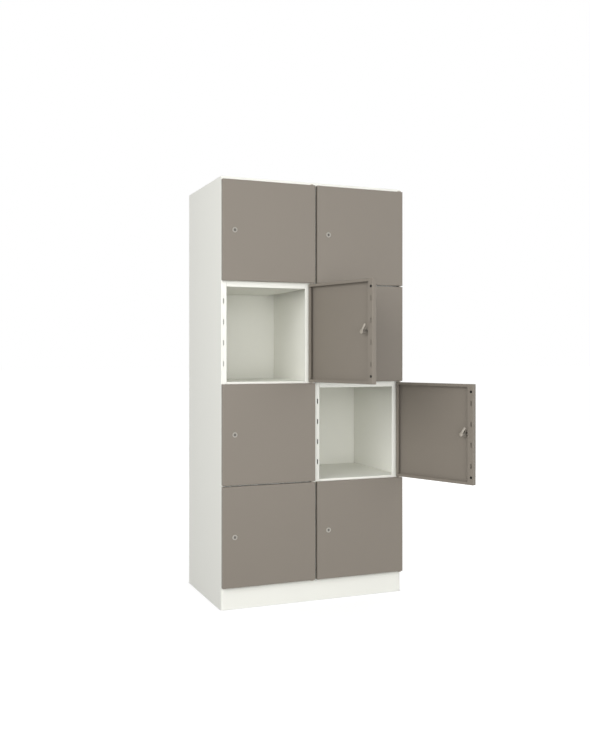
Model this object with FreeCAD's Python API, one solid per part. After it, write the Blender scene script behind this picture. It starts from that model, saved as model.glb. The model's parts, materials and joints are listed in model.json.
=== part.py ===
import FreeCAD, Part
import math
import os

# Two-column, four-row steel locker. X runs to the right seen from the front, Y to the back, Z up.
# The origin is on the floor, in the middle of the body's footprint. All sizes are in millimetres.

# Body
CABINET_WIDTH = 840.0
BODY_DEPTH = 500.0
PLINTH_HEIGHT = 88.0
ROW_PITCH = 424.5
ROWS = 4
TOP_MARGIN = 11.5
BACK_INSET = 28.0

# Sheet metal
SHEET = 1.0
BEND = 1.2
SEAM = 0.2

# Front posts, rails and the hidden flanges that join the panels
LOCK_POST = 24.0
HINGE_POST = 42.0
POST_RETURN = 8.0
RAIL_RISE = 6.5
RAIL_HEIGHT = 29.0
WELD_FLANGE = 15.0
BASE_FLANGE = 20.0
PLINTH_CORNER = 11.0
PLINTH_RETURN = 40.0

# Doors
DOOR_THICKNESS = 20.0
ROW_GAP = 5.0
COLUMN_GAP = 9.0
SEAT_GAP = 2.0
DOOR_CORNER = 2.6
DOOR_EDGE = 2.0
LOCK_FLANGE = 28.0
HINGE_LIP = 16.0
END_LIP = 12.0
LIP_CORNER = 3.0
LIP_RETURN = 8.0
DOOR_ANGLE = {"left_2": 105.0, "right_3": 112.0}

# Slots in the lock posts and in the doors, and rubber buffers in the doors
SLOTS = 4
SLOT_PITCH = 87.0
SLOT_HEIGHT = 22.0
SLOT_WIDTH = 5.0
SLOT_INSET = 10.5
BUFFER_OFFSET = 178.0
BUFFER_RADIUS = 5.5
BUFFER_CROWN = 4.0
BUFFER_HEIGHT = 1.6
BUFFER_STEM = 2.6
BUFFER_BEAD = 3.4
BUFFER_FIT = 0.1

# Hinges
HINGE_INSET = 13.0
HINGE_SETBACK = 6.0
HINGE_BEND = 9.0
PIN_RADIUS = 3.0
PIN_REACH = 12.0
PIN_CHAMFER = 0.8
PIN_FIT = 0.05
PIN_PRESS = 0.02
BRACKET_SHEET = 2.5
BRACKET_WIDTH = 12.0
BRACKET_NOSE = 5.0
BRACKET_LEG = 20.0
BRACKET_LEG_WIDTH = 16.0

# Cam locks
LOCK_INSET = 52.5
LOCK_FACE_RADIUS = 11.0
LOCK_FACE_PROUD = 2.0
LOCK_FACE_BEVEL = 1.2
BARREL_RADIUS = 9.25
BARREL_FLATS = 16.4
BARREL_FIT = 0.15
NUT_FLATS = 24.0
NUT_HEIGHT = 5.0
PLUG_RADIUS = 6.0
PLUG_FIT = 0.05
PLUG_RECESS = 0.5
PLUG_SQUARE = 7.0
SQUARE_FIT = 0.1
KEYWAY_WIDTH = 1.8
KEYWAY_HEIGHT = 7.5
KEYWAY_DEPTH = 9.0
CAM_CLEARANCE = 1.0
CAM_SHEET = 2.5
CAM_HUB = 18.0
CAM_HUB_CORNER = 8.1
CAM_WIDTH = 10.0
CAM_REACH = 37.0
CAM_TIP_CORNER = 4.0
CAM_ANGLE = {"left_2": 35.0, "right_3": 35.0}
SCREW_RADIUS = 2.0
SCREW_DEPTH = 8.0
SCREW_FLATS = 7.0
SCREW_HEAD = 2.8

# Wall fixing holes in the back
FIXING_RADIUS = 4.5
FIXING_SPACING = 420.0
FIXING_DROP = 60.0

# Places worked out from the sizes above
HALF_WIDTH = CABINET_WIDTH / 2
FRONT = -BODY_DEPTH / 2
REAR = BODY_DEPTH / 2
BACK_FACE = REAR - BACK_INSET
LOWEST_GAP = PLINTH_HEIGHT + ROW_GAP / 2
HEIGHT = LOWEST_GAP + ROWS * ROW_PITCH + TOP_MARGIN
RAIL_BACK = FRONT + POST_RETURN + SEAM
PARTITION_X = (LOCK_POST - HINGE_POST) / 2
SHELF_BACK = BACK_FACE - SHEET - BEND - 2 * SEAM
INNER_REAR = REAR - SHEET - BEND

DOOR_WIDTH = (CABINET_WIDTH - COLUMN_GAP) / 2
DOOR_BACK = FRONT - SEAT_GAP
DOOR_FRONT = DOOR_BACK - DOOR_THICKNESS
HINGE_Y = DOOR_FRONT + HINGE_SETBACK

CAM_FRONT = FRONT + POST_RETURN + CAM_CLEARANCE
CAM_BACK = CAM_FRONT + CAM_SHEET
BARREL_END = CAM_FRONT - SEAM

COLUMN_NAMES = ("left", "right")
COLUMN_LEFT = {"left": -HALF_WIDTH, "right": 0.0}
COLUMN_RIGHT = {"left": 0.0, "right": HALF_WIDTH}
DOOR_LEFT = {"left": -HALF_WIDTH, "right": COLUMN_GAP / 2}
WALL_LEFT = {"left": SHEET - HALF_WIDTH, "right": PARTITION_X + SHEET / 2}
WALL_RIGHT = {"left": PARTITION_X - SHEET / 2, "right": HALF_WIDTH - SHEET}

# Smallest length or turn that counts
TOUCH = 1e-6

V = FreeCAD.Vector
UP = V(0, 0, 1)
BACKWARD = V(0, 1, 0)
RIGHTWARD = V(1, 0, 0)

# Each drawing plane turns an outline drawn in (u, v) and gives the direction in which it is extruded
PLANES = {
    "plan": (FreeCAD.Rotation(), UP),
    "front": (FreeCAD.Rotation(RIGHTWARD, 90), BACKWARD),
    "side": (FreeCAD.Rotation(V(1, 1, 1), 120), RIGHTWARD),
}


def rounded_face(corners):
    """Flat face inside the corners (u, v, radius), with an arc at each corner that has a radius."""
    stations = []
    for i, (u, v, radius) in enumerate(corners):
        here = V(u, v, 0)
        before = V(*corners[i - 1][:2], 0)
        after = V(*corners[(i + 1) % len(corners)][:2], 0)
        if radius == 0:
            stations.append((here, None, here))
            continue
        back = (before - here).normalize()
        ahead = (after - here).normalize()
        half = back.getAngle(ahead) / 2
        reach = radius / math.tan(half)
        crown = (back + ahead).normalize() * (radius / math.sin(half) - radius)
        stations.append((here + back * reach, here + crown, here + ahead * reach))
    edges = []
    for i, (start, crown, end) in enumerate(stations):
        if crown is not None:
            edges.append(Part.Arc(start, crown, end).toShape())
        following = stations[(i + 1) % len(stations)][0]
        edges.append(Part.LineSegment(end, following).toShape())
    return Part.Face(Part.Wire(edges))


def prism(plane, corners, start, end):
    """Outline drawn in a plane and extruded between two places along that plane's normal."""
    rotation, along = PLANES[plane]
    face = rounded_face(corners)
    face.Placement = FreeCAD.Placement(along * start, rotation)
    return face.extrude(along * (end - start))


def rectangle(u0, v0, u1, v1, radius=0):
    """Corners of a rectangle, all with one radius."""
    return [(u0, v0, radius), (u1, v0, radius), (u1, v1, radius), (u0, v1, radius)]


def centred(u, v, width, height, radius=0):
    """Corners of a rectangle around the point (u, v)."""
    return rectangle(u - width / 2, v - height / 2, u + width / 2, v + height / 2, radius)


def folded(points, bend=BEND):
    """Outline of a bent sheet seen end on. The points follow one face, with the metal on their left."""
    near = []
    far = []
    for i, (u, v) in enumerate(points):
        here = V(u, v, 0)
        arriving = here - V(*points[max(i, 1) - 1], 0)
        leaving = V(*points[min(i + 1, len(points) - 1)], 0) - here
        if i == 0:
            arriving = leaving
        if i == len(points) - 1:
            leaving = arriving
        arriving = arriving.normalize()
        leaving = leaving.normalize()
        first = V(-arriving.y, arriving.x, 0)
        second = V(-leaving.y, leaving.x, 0)
        mitre = here + (first + second) * (SHEET / (1 + first.dot(second)))
        turn = arriving.cross(leaving).z
        near_radius = 0
        far_radius = 0
        if abs(turn) > TOUCH:
            near_radius = bend + SHEET if turn > 0 else bend
            far_radius = bend if turn > 0 else bend + SHEET
        near.append((u, v, near_radius))
        far.append((mitre.x, mitre.y, far_radius))
    return near + far[::-1]


def turned(profile, x, z):
    """Solid of revolution about a line along Y through (x, z). The profile is (radius, y) points."""
    wire = Part.makePolygon([V(radius, y, 0) for radius, y in profile + profile[:1]])
    solid = Part.Face(wire).revolve(V(0, 0, 0), BACKWARD, 360)
    solid.translate(V(x, 0, z))
    return solid


def hexagon(flats, x, z):
    """Corners of a hexagon with the given size across flats, centred on (x, z)."""
    radius = flats / math.sqrt(3)
    corners = []
    for i in range(6):
        angle = math.radians(60 * i)
        corners.append((x + radius * math.cos(angle), z + radius * math.sin(angle), 0))
    return corners


def joined(first, *others):
    """One solid made of shapes that share material, without the seams between them."""
    return first.fuse(list(others)).removeSplitter()


def gap_height(line):
    """Height of the middle of a gap between doors. Line 0 is above the top row."""
    return LOWEST_GAP + (ROWS - line) * ROW_PITCH


def row_middle(row):
    """Height of the middle of a row. Row 1 is at the top."""
    return (gap_height(row - 1) + gap_height(row)) / 2


def rail_top(line):
    return gap_height(line) + RAIL_RISE


def rail_bottom(line):
    return rail_top(line) - RAIL_HEIGHT


def hinge_x(column):
    return DOOR_LEFT[column] + DOOR_WIDTH - HINGE_INSET


def lock_x(column):
    return DOOR_LEFT[column] + LOCK_INSET


def slot_cuts(x, row, y):
    """Upright round-ended slots of one compartment, cut through a sheet whose middle is at y."""
    cuts = []
    for i in range(SLOTS):
        z = row_middle(row) + (i - (SLOTS - 1) / 2) * SLOT_PITCH
        straight = SLOT_HEIGHT / 2 - SLOT_WIDTH / 2
        body = prism("front", centred(x, z, SLOT_WIDTH, 2 * straight), y - SHEET, y + SHEET)
        for end in (-straight, straight):
            tip = Part.makeCylinder(SLOT_WIDTH / 2, 2 * SHEET, V(x, y - SHEET, z + end), BACKWARD)
            body = body.fuse(tip)
        cuts.append(body)
    return cuts


def post_slots(column):
    """Slots down the lock post of one column, each behind a slot of a shut door."""
    x = DOOR_LEFT[column] + SLOT_INSET
    cuts = []
    for row in range(1, ROWS + 1):
        cuts.extend(slot_cuts(x, row, FRONT + SHEET / 2))
    return cuts


def bracket_slots(column, lines):
    """Openings through the front sheet for the hinge brackets of one column."""
    x = hinge_x(column)
    wide = BRACKET_WIDTH / 2 + SEAM
    high = BRACKET_SHEET / 2 + SEAM
    cuts = []
    for line in lines:
        z = gap_height(line)
        low = z - high
        if line == ROWS:
            low = PLINTH_HEIGHT
        cuts.append(prism("front", rectangle(x - wide, low, x + wide, z + high),
                          FRONT - SHEET, FRONT + 2 * SHEET))
    return cuts


POST_BOTTOM = PLINTH_HEIGHT + SEAM
POST_TOP = rail_bottom(0) - SEAM
PANEL_TOP = HEIGHT - SHEET - SEAM


def mirrored(points, side):
    """Points drawn for the left side, or their mirror image in reverse order for the right side."""
    if side < 0:
        return points
    return [(-x, y) for x, y in reversed(points)]


def side_panel(side, post_width, closed, cuts):
    """Outer wall with a front post, rear and top flanges. A closed post is folded back to the wall."""
    outer = -HALF_WIDTH
    rear_fold = [(outer + WELD_FLANGE, REAR), (outer, REAR)]
    post_fold = [(outer, FRONT), (outer + post_width, FRONT), (outer + post_width, FRONT + POST_RETURN)]
    if closed:
        post_fold.append((outer + SHEET + SEAM, FRONT + POST_RETURN))
    zones = [
        (0, POST_BOTTOM, [(outer, FRONT + PLINTH_RETURN + SEAM)]),
        (POST_BOTTOM, POST_TOP, post_fold),
        (POST_TOP, PANEL_TOP, [(outer, FRONT + SHEET + BEND)]),
    ]
    walls = []
    for low, high, front_edge in zones:
        walls.append(prism("plan", folded(mirrored(rear_fold + front_edge, side)), low, high))
    flange = sorted((side * HALF_WIDTH, side * (HALF_WIDTH - WELD_FLANGE)))
    walls.append(prism("plan", rectangle(flange[0], RAIL_BACK, flange[1], BACK_FACE - SEAM),
                       PANEL_TOP - SHEET, PANEL_TOP))
    return joined(*walls).cut(cuts)


def centre_post():
    """Post between the columns: a channel at the left hinges, folded back to the partition at the locks."""
    rear = FRONT + POST_RETURN
    outline = folded([(-HINGE_POST, rear), (-HINGE_POST, FRONT), (LOCK_POST, FRONT), (LOCK_POST, rear),
                      (WALL_LEFT["right"] + SEAM, rear)])
    post = prism("plan", outline, POST_BOTTOM, POST_TOP)
    return post.cut(post_slots("right") + bracket_slots("left", range(1, ROWS + 1)))


def centre_partition():
    """Single wall between the columns, folded over at the post and at the back."""
    face = PARTITION_X - SHEET / 2
    front = FRONT + SHEET + SEAM
    back = BACK_FACE - SEAM
    outline = folded([(face + WELD_FLANGE, back), (face, back), (face, front), (face + WELD_FLANGE, front)])
    sheet = prism("plan", outline, rail_top(ROWS) + SEAM, PANEL_TOP)
    room = rectangle(face - SHEET, front - SHEET, face + SHEET + WELD_FLANGE, RAIL_BACK)
    return sheet.cut(prism("plan", room, POST_TOP, PANEL_TOP + SHEET))


def back_panel():
    """Inset back, a pan whose edges are folded rearward, with wall fixing holes near the top."""
    left = -HALF_WIDTH + SHEET + SEAM
    low = PLINTH_HEIGHT + SEAM
    high = PANEL_TOP
    across = folded([(left, INNER_REAR), (left, BACK_FACE), (-left, BACK_FACE), (-left, INNER_REAR)])
    pan = prism("plan", across, low, high)
    inner = left + SHEET + BEND
    foot = prism("side", rectangle(BACK_FACE, low, INNER_REAR, low + SHEET), inner, -inner)
    head = prism("side", rectangle(BACK_FACE, high - SHEET, INNER_REAR, high), inner, -inner)
    holes = []
    for x in (-FIXING_SPACING / 2, FIXING_SPACING / 2):
        centre = V(x, BACK_FACE - SHEET, HEIGHT - FIXING_DROP)
        holes.append(Part.makeCylinder(FIXING_RADIUS, 3 * SHEET, centre, BACKWARD))
    return joined(pan, foot, head).cut(holes)


def top_panel():
    """Lid with a deep front rail above the doors and a short fold at the back."""
    low = rail_bottom(0)
    front_fold = folded([(REAR, HEIGHT), (FRONT, HEIGHT), (FRONT, low)])
    lid = prism("side", front_fold, -HALF_WIDTH, HALF_WIDTH)
    inner = HALF_WIDTH - WELD_FLANGE - SEAM
    rear_fold = prism("side", rectangle(REAR - SHEET, HEIGHT - WELD_FLANGE, REAR, HEIGHT - SHEET / 2),
                      -inner, inner)
    cuts = []
    for column in COLUMN_NAMES:
        cuts.extend(bracket_slots(column, [0]))
    return joined(lid, rear_fold).cut(cuts)


def front_rail(column, top, bottom, boxed):
    """Shelf between the posts, turned down in front. A boxed one also has a back and a flat underside."""
    left = COLUMN_LEFT[column] + LOCK_POST + SEAM
    right = COLUMN_RIGHT[column] - HINGE_POST - SEAM
    outline = [(SHELF_BACK, top), (FRONT, top), (FRONT, bottom)]
    if boxed:
        weld = SHELF_BACK - SHEET - SEAM
        outline = [(SHELF_BACK, bottom)] + outline + [(weld, bottom), (weld, bottom + WELD_FLANGE)]
    return prism("side", folded(outline), left, right)


def shelf(column, line):
    """Shelf folded down at its front, its sides and its back, and beneath it from rail to back."""
    top = rail_top(line)
    low = rail_bottom(line)
    left = WALL_LEFT[column] + SEAM
    right = WALL_RIGHT[column] - SEAM
    section = folded([(right, low), (right, top), (left, top), (left, low)])
    tray = prism("front", section, RAIL_BACK, SHELF_BACK)
    return joined(tray, front_rail(column, top, low, True))


def bottom_panel():
    """Floor of both columns, standing on the plinth."""
    top = rail_top(ROWS)
    low = PLINTH_HEIGHT + SEAM
    edge = HALF_WIDTH - SHEET - SEAM
    section = folded([(edge, low), (edge, top), (-edge, top), (-edge, low)])
    tray = prism("front", section, RAIL_BACK, SHELF_BACK)
    fronts = [front_rail(column, top, low, False) for column in COLUMN_NAMES]
    return joined(tray, *fronts)


def plinth():
    """Base ring: a front board with rounded corners, rails inside the walls, and flanges all round."""
    back = FRONT + PLINTH_RETURN
    rail = HALF_WIDTH - SHEET - SEAM
    board = folded([(-HALF_WIDTH, back), (-HALF_WIDTH, FRONT), (HALF_WIDTH, FRONT), (HALF_WIDTH, back)],
                   PLINTH_CORNER - SHEET)
    lap = FRONT + BASE_FLANGE
    rails = folded([(rail, lap), (rail, INNER_REAR), (-rail, INNER_REAR), (-rail, lap)])
    rim = [(-HALF_WIDTH, back, 0), (-HALF_WIDTH, FRONT, PLINTH_CORNER), (HALF_WIDTH, FRONT, PLINTH_CORNER),
           (HALF_WIDTH, back, 0), (rail, back, 0), (rail, INNER_REAR, BEND + SHEET),
           (-rail, INNER_REAR, BEND + SHEET), (-rail, back, 0)]
    inside = HALF_WIDTH - BASE_FLANGE
    hollow = prism("plan", rectangle(-inside, lap, inside, INNER_REAR - BASE_FLANGE), SHEET - PLINTH_HEIGHT,
                   2 * PLINTH_HEIGHT)
    floor_flange = prism("plan", rim, 0, SHEET).cut(hollow)
    top_flange = prism("plan", rim, PLINTH_HEIGHT - SHEET, PLINTH_HEIGHT).cut(hollow)
    return joined(prism("plan", board, 0, PLINTH_HEIGHT), prism("plan", rails, 0, PLINTH_HEIGHT),
                  floor_flange, top_flange)


def hinge_bracket(column, line):
    """Tab that reaches through the front sheet to the hinge pin, with a leg behind the sheet."""
    x = hinge_x(column)
    z = gap_height(line)
    half = BRACKET_SHEET / 2
    leg_front = FRONT + SHEET + SEAM
    leg_back = leg_front + BRACKET_SHEET
    nose = HINGE_Y - BRACKET_NOSE
    side = BRACKET_WIDTH / 2
    tab = prism("plan", [(x - side, nose, BRACKET_NOSE), (x + side, nose, BRACKET_NOSE),
                         (x + side, leg_back, 0), (x - side, leg_back, 0)], z - half, z + half)
    foot = z + half - BRACKET_LEG
    if line == ROWS:
        foot = z - half
    leg_middle = foot + BRACKET_LEG / 2
    leg = prism("front", centred(x, leg_middle, BRACKET_LEG_WIDTH, BRACKET_LEG), leg_front, leg_back)
    eye = Part.makeCylinder(PIN_RADIUS + PIN_PRESS, 2 * BRACKET_SHEET, V(x, HINGE_Y, z - BRACKET_SHEET))
    return joined(tab, leg).cut(eye)


def hinge_pin(column, line):
    """Pin in a bracket, up into the door above it and down into the door below it."""
    z = gap_height(line)
    low = z - PIN_REACH
    high = z + PIN_REACH
    if line == 0:
        high = z + BRACKET_SHEET / 2
    if line == ROWS:
        low = z - BRACKET_SHEET / 2
    pin = Part.makeCylinder(PIN_RADIUS, high - low, V(hinge_x(column), HINGE_Y, low))
    return pin.makeChamfer(PIN_CHAMFER, [edge for edge in pin.Edges if edge.isClosed()])


def barrel_section(x, z, clearance):
    """Outline of a lock barrel, round with two flats, as an endless bar along Y."""
    radius = BARREL_RADIUS + clearance
    flat = BARREL_FLATS / 2 + clearance
    length = BODY_DEPTH
    bar = Part.makeCylinder(radius, length, V(x, DOOR_FRONT - length / 2, z), BACKWARD)
    room = prism("front", rectangle(x - radius, z - flat, x + radius, z + flat),
                 DOOR_FRONT - length / 2, DOOR_FRONT + length / 2)
    return bar.common(room)


def door_leaf(column, row):
    """Folded door: a pan with narrow lips, the hinge lip turned in, and a wide slotted flange at the lock."""
    left = DOOR_LEFT[column]
    right = left + DOOR_WIDTH
    low = gap_height(row) + ROW_GAP / 2
    high = gap_height(row - 1) - ROW_GAP / 2
    outer = prism("plan", [(left, DOOR_FRONT, DOOR_CORNER), (right, DOOR_FRONT, DOOR_CORNER),
                           (right, DOOR_BACK, HINGE_BEND), (left, DOOR_BACK, BEND + SHEET)], low, high)
    front_rim = []
    for edge in outer.Edges:
        level = edge.BoundBox.ZLength < TOUCH
        if level and edge.BoundBox.YMax < DOOR_FRONT + DOOR_CORNER + TOUCH:
            front_rim.append(edge)
    outer = outer.makeFillet(DOOR_EDGE, front_rim)
    cavity = prism("plan", [(left + SHEET, DOOR_FRONT + SHEET, DOOR_CORNER - SHEET),
                            (right - SHEET, DOOR_FRONT + SHEET, DOOR_CORNER - SHEET),
                            (right - SHEET, DOOR_BACK - SHEET, HINGE_BEND - SHEET),
                            (left + SHEET, DOOR_BACK - SHEET, BEND)], low + SHEET, high - SHEET)
    edge = right - HINGE_LIP
    mouth = rectangle(left + LOCK_FLANGE, low + END_LIP, edge + LIP_CORNER, high - END_LIP, LIP_CORNER)
    window = prism("front", mouth, DOOR_BACK - 2 * SHEET, DOOR_BACK + SHEET)
    cuts = [cavity, window]
    cuts.extend(slot_cuts(left + SLOT_INSET, row, DOOR_BACK - SHEET / 2))
    for z in buffer_heights(row):
        centre = V(left + SLOT_INSET, DOOR_BACK - 2 * SHEET, z)
        cuts.append(Part.makeCylinder(BUFFER_STEM + BUFFER_FIT, 3 * SHEET, centre, BACKWARD))
    pin_foot = V(hinge_x(column), HINGE_Y, low - SHEET)
    pin_hole = Part.makeCylinder(PIN_RADIUS + PIN_FIT, high - low + 2 * SHEET, pin_foot)
    lock_hole = barrel_section(lock_x(column), row_middle(row), BARREL_FIT)
    leaf = outer.cut(cuts + [pin_hole, lock_hole])
    lip_fold = folded([(edge + 2 * LIP_CORNER, DOOR_BACK), (edge, DOOR_BACK), (edge, DOOR_BACK - LIP_RETURN)])
    inset = END_LIP + LIP_CORNER
    return joined(leaf, prism("plan", lip_fold, low + inset, high - inset))


def buffer_heights(row):
    return (row_middle(row) - BUFFER_OFFSET, row_middle(row) + BUFFER_OFFSET)


def door_buffers(column, row):
    """Two rubber buffers, each a domed head with a stem and a bead behind the sheet."""
    seat = DOOR_BACK
    crown = seat + BUFFER_HEIGHT
    inside = seat - SHEET - BUFFER_FIT
    end = inside - BUFFER_HEIGHT
    profile = [(0, crown), (BUFFER_CROWN, crown), (BUFFER_RADIUS, seat + BUFFER_HEIGHT / 2),
               (BUFFER_RADIUS, seat), (BUFFER_STEM, seat), (BUFFER_STEM, inside), (BUFFER_BEAD, inside),
               (BUFFER_STEM, end), (0, end)]
    x = DOOR_LEFT[column] + SLOT_INSET
    return [turned(profile, x, z) for z in buffer_heights(row)]


def lock_housing(column, row):
    """Fixed shell of a cam lock and the nut that clamps it in the door."""
    x = lock_x(column)
    z = row_middle(row)
    face = DOOR_FRONT - LOCK_FACE_PROUD
    root = DOOR_FRONT - LOCK_FACE_PROUD / 2
    bore = PLUG_RADIUS + PLUG_FIT
    rim = turned([(bore, face), (LOCK_FACE_RADIUS - LOCK_FACE_BEVEL, face),
                  (LOCK_FACE_RADIUS, face + LOCK_FACE_BEVEL), (LOCK_FACE_RADIUS, DOOR_FRONT),
                  (bore, DOOR_FRONT)], x, z)
    barrel = turned([(bore, root), (BARREL_RADIUS, root), (BARREL_RADIUS, BARREL_END),
                     (bore, BARREL_END)], x, z)
    shell = joined(rim, barrel.common(barrel_section(x, z, 0)))
    seat = DOOR_FRONT + SHEET + SEAM
    nut = prism("front", hexagon(NUT_FLATS, x, z), seat, seat + NUT_HEIGHT)
    hole = Part.makeCylinder(BARREL_RADIUS + SEAM, 2 * NUT_HEIGHT, V(x, seat - NUT_HEIGHT / 2, z), BACKWARD)
    return [shell, nut.cut(hole)]


def lock_plug(column, row):
    """Turning core of a cam lock, with a keyway in front and a square end for the cam."""
    x = lock_x(column)
    z = row_middle(row)
    face = DOOR_FRONT - LOCK_FACE_PROUD + PLUG_RECESS
    core = Part.makeCylinder(PLUG_RADIUS, BARREL_END - face, V(x, face, z), BACKWARD)
    square = prism("front", centred(x, z, PLUG_SQUARE, PLUG_SQUARE), BARREL_END - SHEET, CAM_BACK - SEAM)
    keyway = prism("front", centred(x, z, KEYWAY_WIDTH, KEYWAY_HEIGHT), face - SHEET, face + KEYWAY_DEPTH)
    tap = V(x, CAM_BACK - SCREW_DEPTH, z)
    thread = Part.makeCylinder(SCREW_RADIUS + PIN_FIT, SCREW_DEPTH + SHEET, tap, BACKWARD)
    return joined(core, square).cut([keyway, thread])


def lock_cam(column, row):
    """Flat cam on the square of the plug, pointing up when unlocked, and its screw."""
    x = lock_x(column)
    z = row_middle(row)
    hub = prism("front", centred(x, z, CAM_HUB, CAM_HUB, CAM_HUB_CORNER), CAM_FRONT, CAM_BACK)
    side = CAM_WIDTH / 2
    blade = rectangle(x - side, z, x + side, z + CAM_REACH, CAM_TIP_CORNER)
    arm = prism("front", blade, CAM_FRONT, CAM_BACK)
    hole = PLUG_SQUARE + 2 * SQUARE_FIT
    eye = prism("front", centred(x, z, hole, hole), CAM_FRONT - SHEET, CAM_BACK + SHEET)
    head = prism("front", hexagon(SCREW_FLATS, x, z), CAM_BACK, CAM_BACK + SCREW_HEAD)
    shank = Part.makeCylinder(SCREW_RADIUS, SCREW_DEPTH, V(x, CAM_BACK - SCREW_DEPTH + SEAM, z), BACKWARD)
    return [joined(hub, arm).cut(eye), joined(head, shank)]


def turn_lock(shape, column, row):
    """Turn a lock piece from pointing up towards the lock edge of the door."""
    angle = CAM_ANGLE.get(f"{column}_{row}", 0)
    shape.rotate(V(lock_x(column), 0, row_middle(row)), -BACKWARD, angle)
    return shape


def swing_door(shape, column, row):
    """Swing a piece of a door about its hinge line to where the door stands open."""
    angle = DOOR_ANGLE.get(f"{column}_{row}", 0)
    shape.rotate(V(hinge_x(column), HINGE_Y, 0), UP, angle)
    return shape


def all_pieces():
    """Every node of the locker with its solids."""
    hinge_places = [(column, line) for column in COLUMN_NAMES for line in range(ROWS + 1)]
    pieces = {
        "left_side_panel": [side_panel(-1, LOCK_POST, True, post_slots("left"))],
        "right_side_panel": [side_panel(1, HINGE_POST, False, bracket_slots("right", range(1, ROWS + 1)))],
        "centre_post": [centre_post()],
        "centre_partition": [centre_partition()],
        "back_panel": [back_panel()],
        "top_panel": [top_panel()],
        "bottom_panel": [bottom_panel()],
        "plinth": [plinth()],
        "hinge_brackets": [hinge_bracket(column, line) for column, line in hinge_places],
        "hinge_pins": [hinge_pin(column, line) for column, line in hinge_places],
    }
    for column in COLUMN_NAMES:
        for line in range(1, ROWS):
            pieces[f"shelf_{column}_{line}"] = [shelf(column, line)]
        for row in range(1, ROWS + 1):
            name = f"{column}_{row}"
            plug = turn_lock(lock_plug(column, row), column, row)
            cam = [turn_lock(shape, column, row) for shape in lock_cam(column, row)]
            on_door = {
                f"door_{name}": [door_leaf(column, row)],
                f"door_buffers_{name}": door_buffers(column, row),
                f"lock_housing_{name}": lock_housing(column, row),
                f"lock_plug_{name}": [plug],
                f"lock_cam_{name}": cam,
            }
            for node, shapes in on_door.items():
                pieces[node] = [swing_door(shape, column, row) for shape in shapes]
    return pieces


def single_solids(shapes):
    """The plain solids inside a list of shapes."""
    return [solid for shape in shapes for solid in shape.Solids]


def main():
    os.makedirs("parts", exist_ok=True)
    for node, shapes in all_pieces().items():
        solids = single_solids(shapes)
        shape = solids[0] if len(solids) == 1 else Part.makeCompound(solids)
        shape.exportStep(f"parts/{node}.step")


main()
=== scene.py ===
"""Folded steel locker: paint, plated locks and hinges, rubber buffers, weld marks and a plain studio."""
import json
import math

import bmesh
import bpy
from bpy.props import FloatProperty, FloatVectorProperty, IntProperty, PointerProperty
from mathutils import Matrix, Vector


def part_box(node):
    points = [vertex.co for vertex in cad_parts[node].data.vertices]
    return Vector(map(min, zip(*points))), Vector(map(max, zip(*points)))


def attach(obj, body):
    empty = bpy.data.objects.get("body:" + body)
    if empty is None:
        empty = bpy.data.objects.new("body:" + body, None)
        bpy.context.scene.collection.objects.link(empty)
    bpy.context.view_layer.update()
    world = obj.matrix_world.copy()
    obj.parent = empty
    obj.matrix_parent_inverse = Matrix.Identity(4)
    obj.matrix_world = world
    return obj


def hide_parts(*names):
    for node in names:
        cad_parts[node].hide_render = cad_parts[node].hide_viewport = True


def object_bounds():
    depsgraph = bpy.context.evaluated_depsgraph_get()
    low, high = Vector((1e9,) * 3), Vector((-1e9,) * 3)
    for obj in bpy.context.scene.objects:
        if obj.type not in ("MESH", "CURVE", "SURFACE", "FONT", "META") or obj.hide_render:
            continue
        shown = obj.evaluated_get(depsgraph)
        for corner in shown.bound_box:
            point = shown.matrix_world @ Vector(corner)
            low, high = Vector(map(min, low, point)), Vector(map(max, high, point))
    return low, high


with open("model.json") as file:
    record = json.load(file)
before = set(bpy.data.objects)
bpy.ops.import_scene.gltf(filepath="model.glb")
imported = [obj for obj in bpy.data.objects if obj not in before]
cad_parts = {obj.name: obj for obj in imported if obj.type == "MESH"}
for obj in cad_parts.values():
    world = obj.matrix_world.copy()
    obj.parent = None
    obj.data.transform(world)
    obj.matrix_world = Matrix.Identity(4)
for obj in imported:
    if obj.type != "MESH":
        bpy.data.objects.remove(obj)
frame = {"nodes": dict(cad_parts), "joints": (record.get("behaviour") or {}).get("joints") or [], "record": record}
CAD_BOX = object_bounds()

bl_info = {
    "name": "Compartment Locker",
    "version": (1, 0, 0),
    "blender": (4, 5, 0),
    "location": "3D View > Sidebar > Locker",
    "description": "Dresses a folded steel locker with paint, plated hardware and a plain studio",
    "category": "Object",
}

MM = 0.001

# Tolerances of the meshes, and the angle above which an edge stays sharp
SAME_POINT = 1e-7
NEAR_ZERO = 1e-9
SHARP_ANGLE = math.radians(32)

# Flat stretches in the small curves
HUB_STEPS = 28
CORNER_STEPS = 8
BUFFER_STEPS = 32
WELD_STEPS = 20

# Chamfer of hexagons, and the thread's depth as a share of its pitch, with its points along one turn
HEXAGON_CHAMFER = math.radians(30)
HEXAGON_EDGE = 0.2 * MM
THREAD_DEPTH = 0.6
THREAD_POINTS = 4

# Section of a lock's ring: millimetres outwards from the bore or inwards from the rim, and below the face
RING_GROOVE = ((0.0, 0.7), (0.5, 0.15), (0.8, 0.0))
RING_EDGE = ((2.2, 0.0), (1.3, 0.15), (0.6, 0.55), (0.15, 1.1), (0.0, 1.6))

# Section of a weld mark from its middle outwards and back, as shares of its radius and height
WELD_PROFILE = ((0, 0.3), (0.5, 0.35), (0.72, 0.8), (0.84, 1), (0.95, 0.6), (1, 0), (1, -1), (0, -1))

# Height of a bump, and how lines from turning and rolling are drawn out along a piece
BUMP_HEIGHT = 0.05 * MM
TURNING_LINES = (3.0, 5000.0, 1.0)
ROLLING_LINES = (1.0, 1.0, 0.25)

# The studio
LAMPS = ("right", "left", "front", "rear")
FLOOR_REACH = 60.0
WHITE = (1, 1, 1, 1)

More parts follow.
